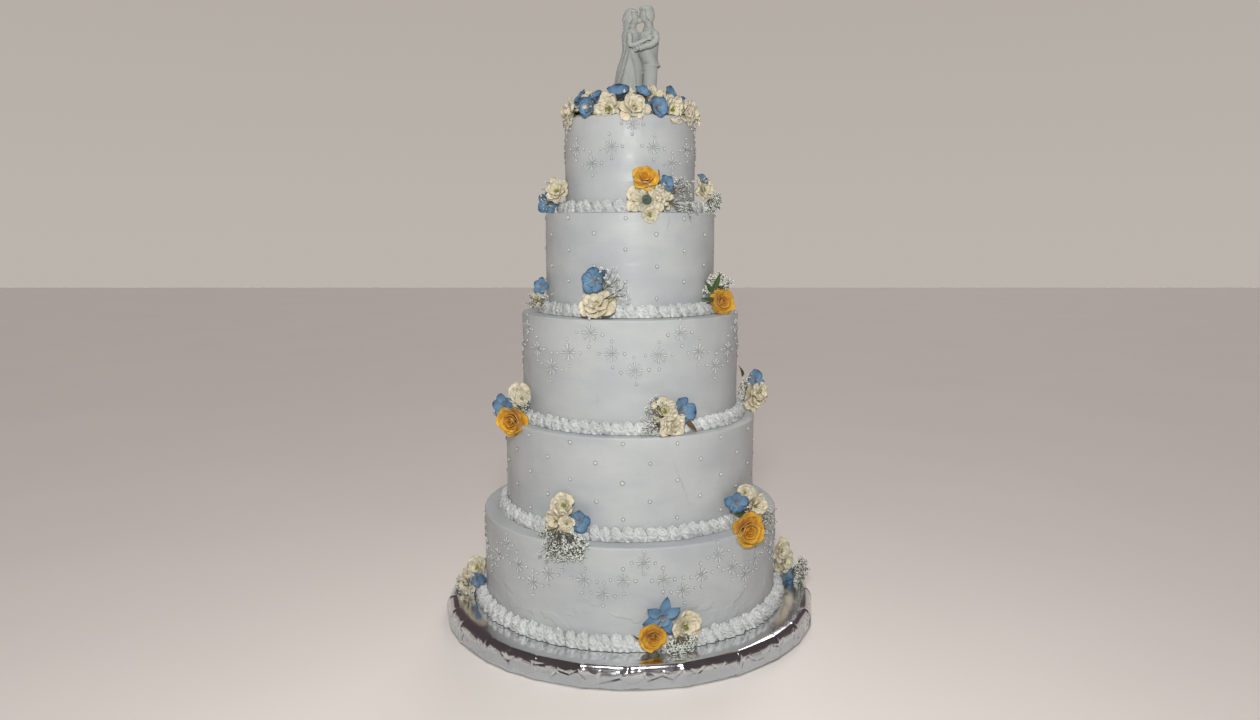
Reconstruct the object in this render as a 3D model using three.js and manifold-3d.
// A five-tier wedding cake on its foil-covered drum: smooth buttercream tiers
// with piped snowflakes and dots, a piped shell border at the foot of every
// tier, small posies of fresh flowers on the ledges, and a ring of flowers
// round a porcelain couple on top. Millimetres, +Z up, the front faces -Y.
// The origin is the middle of the drum's underside.
import * as THREE from 'three';
import { mergeVertices } from 'three/addons/utils/BufferGeometryUtils.js';
import Module from 'manifold-3d';

const wasm = await Module();
wasm.setup();

// ---------------------------------------------------------------- sizes
const INCH = 25.4;
const SEAM = 0.3;                 // gap kept between pieces that touch

const DRUM = { radius: 9.22 * INCH, height: 27.2, pleats: 13, pleatDepth: 1.2 };

// tins of 14, 12, 10, 8 and 6 inches with their icing, from the foot up: the
// facets of the side, the shells at its foot, and the swags of snowflakes, with
// their reach, or the staggered columns of dots, by height above the foot
const TIERS = [
  { radius: 184.0, height: 112.9, sides: 52, shells: 50, start: 4.6, swags: 13, low: 61, rise: 34, flake: 9 },
  {
    radius: 155.5, height: 115.8, sides: 32, shells: 44, start: -3,
    columns: 32, rows: [108, 65, 22], drop: 21.5,
  },
  { radius: 133.5, height: 127.8, sides: 32, shells: 38, start: 25, swags: 8, low: 71, rise: 42, flake: 9.9 },
  {
    radius: 103.5, height: 118.5, sides: 36, shells: 32, start: -3,
    columns: 18, rows: [112, 76, 40], drop: 18,
  },
  { radius: 79.0, height: 110.6, sides: 40, shells: 24, start: 2, swags: 5, low: 56, rise: 42, flake: 8.4 },
];
const SWAG = [1, 0.42, 0, 0.42];  // a swag's flakes, as parts of its rise
const LOWEST_DOT = 18;
const EDGE = 4.0;                 // softened top edge of a tier
const SHELL = { height: 16, depth: 12 };
const FOOT_SHELL = { height: 17, depth: 16 };
const SHELL_BELLY = 0.2;          // where a shell is deepest, as a part of its height
const SHELL_PINCH = { depth: 0.58, height: 0.69 };  // between two shells
const SNOWFLAKE = { waist: 1.25, proud: 1.3, sunk: 0.45, root: 1 };
const DOT = { radius: 1.9, proud: 1.4, sunk: 0.5, root: 1 };
const ON_AXIS = 0.1;              // points nearer than this lie on a turned shape's axis

// ---------------------------------------------------------------- colours
const finish = (color, roughness, metalness = 0) =>
  new THREE.MeshStandardMaterial({ color, roughness, metalness });
const FOIL = finish(0xb9bbc0, 0.2, 1.0);
const ICING = finish(0xe9e8e2, 0.5);
const PIPING = finish(0xf2f1ec, 0.55);
const CREAM = finish(0xe6dfbd, 0.6);
const YELLOW = finish(0xe2a02c, 0.55);
const BLUE = finish(0x5e8ec6, 0.6);
const PORCELAIN = finish(0xb9bab6, 0.65);

// ---------------------------------------------------------------- solids
const part = new THREE.Group();
const rad = THREE.MathUtils.degToRad;
const UP_Y = new THREE.Vector3(0, 1, 0);
const UP_Z = new THREE.Vector3(0, 0, 1);

// A closed surface with shared corners, no empty triangles, facing outwards.
function welded(geometry) {
  const bare = geometry.clone();
  for (const name of Object.keys(bare.attributes)) {
    if (name !== 'position') bare.deleteAttribute(name);
  }
  const merged = mergeVertices(bare, 1e-3);
  const index = Array.from(merged.index.array);
  const kept = [];
  for (let i = 0; i < index.length; i += 3) {
    const [a, b, c] = index.slice(i, i + 3);
    if (a !== b && b !== c && c !== a) kept.push(a, b, c);
  }
  if (volumeOf(merged.attributes.position, kept) < 0) kept.reverse();
  merged.setIndex(kept);
  return merged;
}

function volumeOf(position, index) {
  const [a, b, c] = [new THREE.Vector3(), new THREE.Vector3(), new THREE.Vector3()];
  let sum = 0;
  for (let i = 0; i < index.length; i += 3) {
    a.fromBufferAttribute(position, index[i]);
    b.fromBufferAttribute(position, index[i + 1]);
    c.fromBufferAttribute(position, index[i + 2]);
    sum += a.dot(b.cross(c));
  }
  return sum;
}

function solid(geometry) {
  const shape = welded(geometry);
  return new wasm.Manifold(new wasm.Mesh({
    numProp: 3,
    vertProperties: new Float32Array(shape.attributes.position.array),
    triVerts: new Uint32Array(shape.index.array),
  }));
}

// Back to a mesh, without the loose scraps that a cut can leave.
function geometryOf(manifold) {
  const pieces = manifold.decompose();
  pieces.sort((p, q) => q.volume() - p.volume());
  const mesh = pieces[0].getMesh();
  const geometry = new THREE.BufferGeometry();
  geometry.setAttribute('position', new THREE.BufferAttribute(new Float32Array(mesh.vertProperties), 3));
  geometry.setIndex(Array.from(mesh.triVerts));
  return geometry;
}

const joined = (solids) => solids.reduce((whole, piece) => whole.add(piece));

function addNode(name, geometry, material) {
  const mesh = new THREE.Mesh(geometry, material);
  mesh.name = name;
  part.add(mesh);
}

// Moves every point of a geometry by a rule.
function reshape(geometry, rule) {
  const position = geometry.attributes.position;
  const point = new THREE.Vector3();
  for (let i = 0; i < position.count; i += 1) {
    point.fromBufferAttribute(position, i);
    rule(point);
    position.setXYZ(i, point.x, point.y, point.z);
  }
  return geometry;
}

// A profile of [radius, height] pairs turned about the Z axis.
function turned(profile, sides) {
  const points = profile.map(([r, z]) => new THREE.Vector2(r, z));
  return new THREE.LatheGeometry(points, sides).rotateX(Math.PI / 2);
}

// Repeatable random numbers, so that flowers differ but never change.
function randomFrom(seed) {
  let state = seed * 2654435761 % 4294967296;
  return () => {
    state = (state * 1664525 + 1013904223) % 4294967296;
    return state / 4294967296;
  };
}

// ---------------------------------------------------------------- drum
// A thick round board wrapped in foil, its rim rounded and softly pleated.
function drum() {
  const { radius, height, pleats, pleatDepth } = DRUM;
  const inset = (fall) => radius - fall;
  const shape = turned([
    [0, 0], [inset(6), 0], [inset(0), 8], [inset(1.5), height - 7], [inset(11), height], [0, height],
  ], pleats * 4);
  return welded(reshape(shape, (p) => {
    const reach = Math.hypot(p.x, p.y);
    if (reach > inset(5)) {
      const fold = Math.cos(Math.atan2(p.y, p.x) * pleats * 2);
      const out = 1 + pleatDepth * (fold - 1) / 2 / reach;
      p.x *= out;
      p.y *= out;
    }
  }));
}
addNode('board', drum(), FOIL);

// ---------------------------------------------------------------- tiers
// Stands a small flat-backed piece on a tier's side, its face looking out.
function onSide(geometry, azimuth, radius, z) {
  return geometry.clone()
    .rotateX(Math.PI / 2)
    .translate(0, -radius, z)
    .rotateZ(rad(azimuth));
}

// Eight tapering strokes that meet at a raised middle.
function snowflake(arm) {
  const { waist, proud, sunk, root } = SNOWFLAKE;
  const star = turned([[0, -root], [1, -sunk], [0, proud]], 16);
  return welded(reshape(star, (p) => {
    const reach = Math.hypot(p.x, p.y);
    if (reach > ON_AXIS) {
      const onArm = Math.round(Math.atan2(p.y, p.x) / (Math.PI / 8)) % 2 === 0;
      const size = (onArm ? arm : waist) / reach;
      p.x *= size;
      p.y *= size;
    }
  }));
}

function dot() {
  const { radius, proud, sunk, root } = DOT;
  return welded(turned([[0, -root], [radius, -sunk], [0, proud]], 3));
}

// Snowflakes hang in swags: high, middle, low, middle, and high again.
function swagPlaces({ swags, low, rise, start }) {
  const count = swags * SWAG.length;
  return Array.from({ length: count }, (_, i) =>
    [start + i * 360 / count, low + rise * SWAG[i % SWAG.length]]);
}

// Dots stand in columns, every second one a little lower.
function latticePlaces({ columns, rows, drop, start }) {
  const places = [];
  for (let i = 0; i < columns; i += 1) {
    for (const row of rows) {
      const height = row - (i % 2) * drop;
      if (height > LOWEST_DOT) places.push([start + i * 360 / columns, height]);
    }
  }
  return places;
}

function tierBody(tier, base) {
  const { radius, height, sides, start } = tier;
  const bottom = base + SEAM;
  const top = base + height;
  const body = turned([
    [0, bottom], [radius, bottom], [radius, top - EDGE], [radius - EDGE, top], [0, top],
  ], sides);
  // the first column of decoration sits in the middle of a facet
  body.rotateZ(rad(start + 180 / sides));
  const facet = radius * Math.cos(Math.PI / sides);
  const places = tier.rows ? latticePlaces(tier) : swagPlaces(tier);
  const stamp = tier.rows ? dot() : snowflake(tier.flake);
  const piped = places.map(([azimuth, z]) => solid(onSide(stamp, azimuth, facet, base + z)));
  return geometryOf(joined([solid(body), ...piped]));
}

// A ring of piped shells in the corner between a tier's side and its ledge.
function border(tier, base, { height, depth }) {
  const inner = tier.radius + SEAM;
  const bottom = base + SEAM;
  const ring = turned([
    [inner, bottom], [inner + depth, base + height * SHELL_BELLY], [inner, base + height], [inner, bottom],
  ], tier.shells * 2);
  return welded(reshape(ring, (p) => {
    const step = Math.round(Math.atan2(p.y, p.x) / (Math.PI / tier.shells));
    const reach = Math.hypot(p.x, p.y);
    const pinched = step % 2 !== 0;
    const out = (inner + (reach - inner) * (pinched ? SHELL_PINCH.depth : 1)) / reach;
    p.x *= out;
    p.y *= out;
    p.z = bottom + (p.z - bottom) * (pinched ? SHELL_PINCH.height : 1);
  }));
}

const ledges = [];                // height of the surface each tier stands on
let level = DRUM.height;
TIERS.forEach((tier, i) => {
  ledges.push(level);
  addNode(`tier_${i + 1}`, tierBody(tier, level), ICING);
  addNode(`border_${i + 1}`, border(tier, level, i === 0 ? FOOT_SHELL : SHELL), PIPING);
  level += tier.height;
});
const cakeTop = level;

// ---------------------------------------------------------------- flowers
// How far a flower's rim strays from round and from flat, by its radius.
const RIM = { uneven: 0.07, wave: 0.14 };

const between = (random, [low, high]) => low + (high - low) * random();

// One open flower about its own axis: a pointed back, a lobed wavy rim, a
// hollow with a raised heart. Its face looks along +Z.
function bloom({ size, petals, perPetal = 2, notch, depth, cup, hollow = true }, random) {
  const r = size / 2;
  const face = hollow ? [[r * 0.5, cup * r], [0, cup * r * 0.4]] : [[0, cup * r]];
  const shape = turned([[0, -depth * r], [r, 0], ...face], petals * perPetal);
  const turn = random() * Math.PI;
  const waves = [random() * 6, random() * 6];
  return welded(reshape(shape, (p) => {
    const reach = Math.hypot(p.x, p.y);
    if (reach < ON_AXIS) return;
    const angle = Math.atan2(p.y, p.x);
    const lobe = 1 - notch * (1 + Math.cos(angle * petals + Math.PI / 2)) / 2;
    const uneven = 1 + RIM.uneven * Math.sin(angle * 2 + waves[0]);
    const rim = reach / r;
    p.x *= 1 + (lobe * uneven - 1) * rim;
    p.y *= 1 + (lobe * uneven - 1) * rim;
    p.z += r * RIM.wave * rim * Math.sin(angle * 3 + waves[1]);
  })).rotateZ(turn);
}

const KINDS = {
  rose: { petals: 9, perPetal: 1, notch: 0, depth: 1.0, cup: 0.55 },
  blue: { petals: 5, notch: 0.36, depth: 0.5, cup: 0.15, hollow: false },
  cream: { petals: 4, notch: 0.2, depth: 0.6, cup: 0.25 },
};

// A sprig of gypsophila along +Z, thickest where its small heads crowd.
const SPRIG = { root: 3, tip: 3, radius: 1.7, lean: [16, 28], share: [0.85, 1.15] };

function sprig(length) {
  return turned([[0, -SPRIG.root], [SPRIG.radius, length - SPRIG.tip], [0, length]], 3);
}

const STALK = { radius: 1.6, behind: 3 };
const REACH = 90;                 // farther than any flower hangs or stands out

// A thin green stem between two points.
function stalk(from, to, radius) {
  const middle = from.clone().lerp(to, 0.5);
  const way = to.clone().sub(from);
  return new THREE.CylinderGeometry(radius, radius, way.length(), 3)
    .applyQuaternion(new THREE.Quaternion().setFromUnitVectors(UP_Y, way.normalize()))
    .translate(middle.x, middle.y, middle.z);
}
// Everything a flower must stay clear of round one azimuth: the tier's side,
// its border, the ledge and the side below the ledge.
function cakeStep(foot, azimuth) {
  const wall = TIERS[foot].radius;
  const ledge = ledges[foot];
  const below = foot === 0 ? DRUM.radius : TIERS[foot - 1].radius;
  const { height, depth } = foot === 0 ? FOOT_SHELL : SHELL;
  const clear = 2 * SEAM;
  const edge = below + SNOWFLAKE.proud + SEAM;
  return block([
    [wall - REACH, ledge - REACH], [edge, ledge - REACH], [edge, ledge + SEAM],
    [wall + depth + clear, ledge + SEAM], [wall + depth + clear, ledge + height * SHELL_BELLY + clear],
    [wall + clear, ledge + height + clear], [wall + clear, ledge + REACH], [wall - REACH, ledge + REACH],
  ], azimuth);
}

// The same for a flower on the very top.
function topStep(azimuth) {
  const edge = TIERS.at(-1).radius + SNOWFLAKE.proud + SEAM;
  return block([
    [0, cakeTop - REACH], [edge, cakeTop - REACH], [edge, cakeTop + SEAM], [0, cakeTop + SEAM],
  ], azimuth);
}

// A block with the given [out, up] outline, lying across one azimuth.
function block(outline, azimuth) {
  const shape = new THREE.Shape(outline.map(([out, z]) => new THREE.Vector2(out, z)));
  return solid(new THREE.ExtrudeGeometry(shape, { depth: REACH * 2, bevelEnabled: false, steps: 1 })
    .translate(0, 0, -REACH)
    .rotateX(Math.PI / 2)
    .rotateZ(rad(azimuth - 90)));
}

// side, up and out are millimetres to the right of the posy's azimuth, above
// the ledge and off the tier's side; tilt and turn say where a flower looks,
// upwards and to the right.
const azimuthOf = (foot, azimuth, { side = 0, out }) =>
  azimuth + THREE.MathUtils.radToDeg(side / (TIERS[foot].radius + out));

function pointAt(foot, azimuth, place, deeper = 0) {
  return new THREE.Vector3(0, deeper - TIERS[foot].radius - place.out, ledges[foot] + place.up)
    .applyAxisAngle(UP_Z, rad(azimuthOf(foot, azimuth, place)));
}

function facing(geometry, { tilt = 0, turn = 0 }, along, at) {
  return geometry
    .rotateX(Math.PI / 2 - rad(tilt))
    .rotateZ(rad(turn + along))
    .translate(at.x, at.y, at.z);
}

function onLedge(geometry, foot, azimuth, place) {
  const along = azimuthOf(foot, azimuth, place);
  const flower = solid(facing(geometry, place, along, pointAt(foot, azimuth, place)));
  return flower.subtract(cakeStep(foot, along));
}

// Gypsophila fans out of one point; each aim is an angle, 0 right and 90 up.
function spray(foot, azimuth, place, random) {
  const along = azimuthOf(foot, azimuth, place);
  const root = pointAt(foot, azimuth, place);
  return place.aim.map((aim) => {
    const lean = rad(between(random, SPRIG.lean));
    const way = new THREE.Vector3(
      Math.cos(rad(aim)) * Math.cos(lean), -Math.sin(lean), Math.sin(rad(aim)) * Math.cos(lean));
    const stem = sprig(place.reach * between(random, SPRIG.share))
      .applyQuaternion(new THREE.Quaternion().setFromUnitVectors(UP_Z, way))
      .rotateZ(rad(along + place.turn))
      .translate(root.x, root.y, root.z);
    return solid(stem).subtract(cakeStep(foot, along));
  });
}

// A flower this much larger is cut from its neighbours, to part them.
const PARTING = 1.05;

// What each posy holds, seen from the front.
const ARRANGEMENTS = {
  roseOverCream: {
    rose: { size: 26, side: -8, up: 39, out: 18, tilt: 22 },
    blue: { size: 19, side: 20, up: 33, out: 12, tilt: 12, turn: 8 },
    cream: [
      { size: 35, side: -6, up: 14, out: 16, tilt: 4, turn: -6 },
      { size: 28, side: 14, up: 19, out: 13, tilt: 14, turn: 16 },
    ],
    sprigs: { side: 20, up: 16, out: 14, reach: 29, aim: [-20, 20, 50] },
  },
  creamOverBlue: {
    blue: { size: 26, side: -2, up: 12, out: 17, tilt: -6 },
    cream: [{ size: 27, side: 10, up: 27, out: 9, tilt: 15 }],
    sprigs: { side: 4, up: 26, out: 12, reach: 20, aim: [110, 150, 190] },
  },
  creamAlone: {
    blue: { size: 14, side: -1, up: 42, out: 6, tilt: 40 },
    cream: [{ size: 25, side: 0, up: 29, out: 9, tilt: 8 }],
    sprigs: { side: 2, up: 20, out: 15, reach: 19, aim: [-70, -20, 220] },
  },
  blueOverCream: {
    blue: { size: 28, side: -5, up: 42, out: 9, tilt: 8 },
    cream: [{ size: 36, side: 1, up: 18, out: 15, tilt: 44 }],
    sprigs: { side: 9, up: 22, out: 15, reach: 33, aim: [18, 42, 66] },
  },
  whiteOverRose: {
    rose: { size: 28, side: -2, up: 15, out: 19 },
    cream: [{ size: 29, side: 2, up: 40, out: 10, tilt: 20 }],
    sprigs: { side: 0, up: 36, out: 12, reach: 22, aim: [50, 120, 165] },
  },
  blueWithBud: {
    blue: { size: 20, side: 3, up: 32, out: 7, tilt: 10 },
    cream: [{ size: 17, side: 2, up: 16, out: 13 }],
    sprigs: { side: 3, up: 15, out: 14, reach: 16, aim: [-20, 30, 160] },
  },
  threeColours: {
    rose: { size: 33, side: 30, up: 4, out: 28, tilt: -2, turn: -8 },
    blue: { size: 26, side: -2, up: 17, out: 26 },
    cream: [{ size: 27, side: 8, up: 33, out: 10, tilt: 18 }],
    sprigs: { side: 5, up: 29, out: 13, reach: 24, aim: [-115, -150, 60] },
  },
  creamWithBlue: {
    blue: { size: 27, side: 19, up: 28, out: 10, tilt: 4, turn: 12 },
    cream: [{ size: 36, side: 0, up: 18, out: 16, tilt: 8 }],
    sprigs: { side: -8, up: 18, out: 15, reach: 28, aim: [120, 150, 195] },
  },
  sideHeap: {
    blue: { size: 25, side: 2, up: 40, out: 21, tilt: 20 },
    cream: [{ size: 34, side: 0, up: 18, out: 21 }],
    sprigs: { side: -6, up: 24, out: 14, reach: 21, aim: [90, 130, 170] },
  },
  bigSpray: {
    blue: { size: 24, side: 18, up: 22, out: 12, turn: 14 },
    cream: [
      { size: 31, side: -10, up: 19, out: 14, tilt: 4, turn: -12 },
      { size: 25, side: -4, up: 36, out: 8, tilt: 22 },
    ],
    sprigs: { side: -4, up: 15, out: 19, reach: 38, aim: [-34, -64, -98] },
  },
  roseBelow: {
    rose: { size: 34, side: -31, up: 2, out: 31, tilt: 2, turn: 12 },
    blue: { size: 24, side: -22, up: 30, out: 9 },
    cream: [{ size: 33, side: 11, up: 19, out: 15, turn: 15 }],
    sprigs: { side: 9, up: 14, out: 16, reach: 22, aim: [-80, -35, 10] },
  },
  footHeap: {
    blue: { size: 24, side: 16, up: 21, out: 7, turn: 10 },
    cream: [
      { size: 26, side: 3, up: 31, out: 9, tilt: 15 },
      { size: 30, side: 6, up: 12, out: 23, turn: -15 },
    ],
    sprigs: { side: 2, up: 11, out: 23, reach: 17, aim: [-60, -100, 200] },
  },
  starOverRose: {
    rose: { size: 28, side: -18, up: 19, out: 21, tilt: 4 },
    blue: { size: 38, side: -5, up: 37, out: 12, tilt: 2 },
    cream: [{ size: 32, side: 21, up: 24, out: 14, tilt: 2, turn: 10 }],
    sprigs: { side: 16, up: 18, out: 18, reach: 20, aim: [-120, -75, -30] },
  },
  footSide: {
    blue: { size: 24, side: 0, up: 11, out: 19, tilt: -5 },
    cream: [{ size: 30, side: -2, up: 27, out: 15 }, { size: 26, side: -6, up: 43, out: 10, tilt: 10 }],
    sprigs: { side: -4, up: 24, out: 19, reach: 22, aim: [-40, 0, 50] },
  },
};

// [tier at whose foot it lies, azimuth from the front to the right, kind, and
// how far its flowers turn away from straight out, towards the front]
const POSIES = [
  [4, 15, 'roseOverCream', 0],
  [4, 88, 'creamAlone', -50],
  [4, 180, 'whiteOverRose', 0],
  [4, -80, 'creamOverBlue', 50],
  [3, -19, 'blueOverCream', 0],
  [3, 62, 'whiteOverRose', -45],
  [3, 172, 'creamWithBlue', 0],
  [3, -72, 'blueWithBud', 45],
  [2, 17, 'creamWithBlue', 0],
  [2, 91, 'sideHeap', -50],
  [2, -166, 'bigSpray', 0],
  [2, -68, 'threeColours', 50],
  [1, -26, 'bigSpray', 0],
  [1, 55, 'roseBelow', -40],
  [1, 132, 'sideHeap', 0],
  [1, -130, 'blueOverCream', 0],
  [0, 12, 'starOverRose', 0],
  [0, 93, 'footSide', -50],
  [0, -174, 'starOverRose', 0],
  [0, -83, 'footHeap', 50],
];

POSIES.forEach(([foot, azimuth, name, look], i) => {
  const turnedBy = (place) => ({ ...place, turn: (place.turn ?? 0) + look });
  const { rose, blue, sprigs } = ARRANGEMENTS[name];
  const cream = ARRANGEMENTS[name].cream.map(turnedBy);
  const random = randomFrom(i + 3);
  const label = `posy_${foot + 1}${'abcd'[i % 4]}`;
  const cutters = [];
  for (const [kind, flat, material] of [['rose', rose, YELLOW], ['blue', blue, BLUE]]) {
    if (!flat) continue;
    const place = turnedBy(flat);
    const shape = bloom({ ...KINDS[kind], size: place.size }, random);
    let flower = onLedge(shape.clone(), foot, azimuth, place);
    cutters.forEach((cutter) => { flower = flower.subtract(cutter); });
    cutters.push(onLedge(shape.scale(PARTING, PARTING, PARTING), foot, azimuth, place));
    addNode(`${label}_${kind}`, geometryOf(flower), material);
  }
  const heads = cream.map((place, n) =>
    onLedge(bloom({ ...KINDS.cream, hollow: n === 0, size: place.size }, random), foot, azimuth, place));
  const middle = pointAt(foot, azimuth, cream[0], STALK.behind);
  const joints = cream.slice(1).map((place) =>
    solid(stalk(middle, pointAt(foot, azimuth, place, STALK.behind), STALK.radius)));
  let bundle = joined([...heads, ...joints, ...spray(foot, azimuth, turnedBy(sprigs), random)]);
  cutters.forEach((cutter) => { bundle = bundle.subtract(cutter); });
  addNode(`${label}_cream`, geometryOf(bundle), CREAM);
});

// ---------------------------------------------------------------- wreath
// Flowers heaped on a low ring of leaves, two rows deep, round the couple.
const WREATH = {
  bed: [[44, 0], [71, 0], [67, 12], [56, 19], [44, 0]],
  rows: [
    { count: 15, start: 4, radius: 74, up: 7, tilt: 12, heads: [['cream', 31], ['blue', 24], ['cream', 29]] },
    { count: 12, start: -11, radius: 58, up: 20, tilt: 38, heads: [['blue', 24], ['cream', 19], ['blue', 22]] },
  ],
  stray: [-2.5, 2.5],             // degrees that a flower stands off its even place
  lift: [0, 3],
  growth: [0.92, 1.08],
};

function wreath() {
  const bed = solid(turned(WREATH.bed, 16).translate(0, 0, cakeTop + SEAM));
  const random = randomFrom(91);
  const heads = WREATH.rows.flatMap((row) => Array.from({ length: row.count }, (_, i) => {
    const along = row.start + i * 360 / row.count + between(random, WREATH.stray);
    const height = cakeTop + row.up + between(random, WREATH.lift);
    const at = new THREE.Vector3(0, -row.radius, height).applyAxisAngle(UP_Z, rad(along));
    const [kind, width] = row.heads[i % row.heads.length];
    const size = width * between(random, WREATH.growth);
    const form = { ...KINDS[kind], petals: 5, perPetal: 1, notch: 0, hollow: false, size };
    const flower = bloom(form, random);
    return solid(facing(flower, { tilt: row.tilt }, along, at)).subtract(topStep(along));
  }));
  return geometryOf(joined([bed, ...heads]));
}
addNode('wreath', wreath(), CREAM);

// ---------------------------------------------------------------- couple
// A bisque porcelain pair that embraces, on a low oval foot. Each body is a
// stack of ovals: [height, x, half width, half depth].
const GOWN = [
  [0, -5, 23, 17], [20, -3, 20, 15], [44, -1, 17, 12.5], [66, 1.2, 14.3, 10.5],
  [79, 1, 9.6, 8], [90, 0.8, 10.4, 9.5], [99, 0.6, 9.6, 9.5], [106, 1.6, 4.6, 4.4], [113, 2.2, 4.4, 4.2],
];
const JACKET = [
  [60, 26.2, 9.2, 11], [78, 21.8, 11.6, 10], [91, 22.6, 11.6, 12.5],
  [101, 24, 9.6, 12.5], [107, 23.7, 6.4, 5.6], [115, 22.2, 5.2, 4.6],
];
const TROUSERS = { x: [24.6, 24], y: [-5.5, 5.5], top: 64, halfWidth: 8, halfDepth: 5.4 };
const HEADS = [
  { at: [1.8, 0, 120], size: [9.4, 7.4, 10.4] },
  { at: [20, 0, 123.5], size: [9.6, 7.5, 10.4] },
];
const KNOT = { at: [-5.6, 0, 117], size: [3.6, 3.6, 4.4] };
// shoulder, elbow and hand of the near arms; the far arms mirror them
const ARMS = [
  [[-1.5, -9, 101], [1.8, -13, 84.5], [27, -12.5, 92.5]],
  [[28.5, -11, 101], [29, -15, 86.5], [6, -12, 79.5]],
];
const ARM_RADIUS = [4.2, 3.3, 2.6];
const FOOT = { x: 4, halfWidth: 34, halfDepth: 20, height: 3.5 };

// A closed stack of ovals.
function stacked(ovals, sides) {
  const rows = ovals.length - 1;
  const body = new THREE.CylinderGeometry(1, 1, rows, sides, rows).rotateX(Math.PI / 2);
  return reshape(body, (p) => {
    const [z, x, halfWidth, halfDepth] = ovals[Math.round(p.z + rows / 2)];
    p.set(x + p.x * halfWidth, p.y * halfDepth, z);
  });
}

function ball(at, size, sides, rows) {
  return new THREE.SphereGeometry(1, sides, rows).rotateX(Math.PI / 2).scale(...size).translate(...at);
}

function limb(from, to, thick, thin) {
  const [a, b] = [new THREE.Vector3(...from), new THREE.Vector3(...to)];
  const way = b.clone().sub(a);
  const middle = a.clone().lerp(b, 0.5);
  return new THREE.CylinderGeometry(thin, thick, way.length() + thin, 4)
    .applyQuaternion(new THREE.Quaternion().setFromUnitVectors(UP_Y, way.normalize()))
    .translate(middle.x, middle.y, middle.z);
}

function couple() {
  const rim = [FOOT.x, FOOT.halfWidth, FOOT.halfDepth];
  const pieces = [stacked(GOWN, 8), stacked(JACKET, 8), stacked([[0, ...rim], [FOOT.height, ...rim]], 10)];
  TROUSERS.y.forEach((y, i) => {
    const oval = [TROUSERS.x[i], TROUSERS.halfWidth, TROUSERS.halfDepth];
    pieces.push(stacked([[1, ...oval], [TROUSERS.top, ...oval]], 6).translate(0, y, 0));
  });
  HEADS.forEach(({ at, size }) => pieces.push(ball(at, size, 8, 5)));
  pieces.push(ball(KNOT.at, KNOT.size, 5, 3));
  for (const [shoulder, elbow, hand] of ARMS) {
    for (const mirror of [1, -1]) {
      const [s, e, h] = [shoulder, elbow, hand].map(([x, y, z]) => [x, y * mirror, z]);
      pieces.push(limb(s, e, ARM_RADIUS[0], ARM_RADIUS[1]), limb(e, h, ARM_RADIUS[1], ARM_RADIUS[2]));
    }
  }
  return geometryOf(joined(pieces.map(solid))).translate(0, 0, cakeTop + SEAM);
}
addNode('figurine', couple(), PORCELAIN);

export default part;
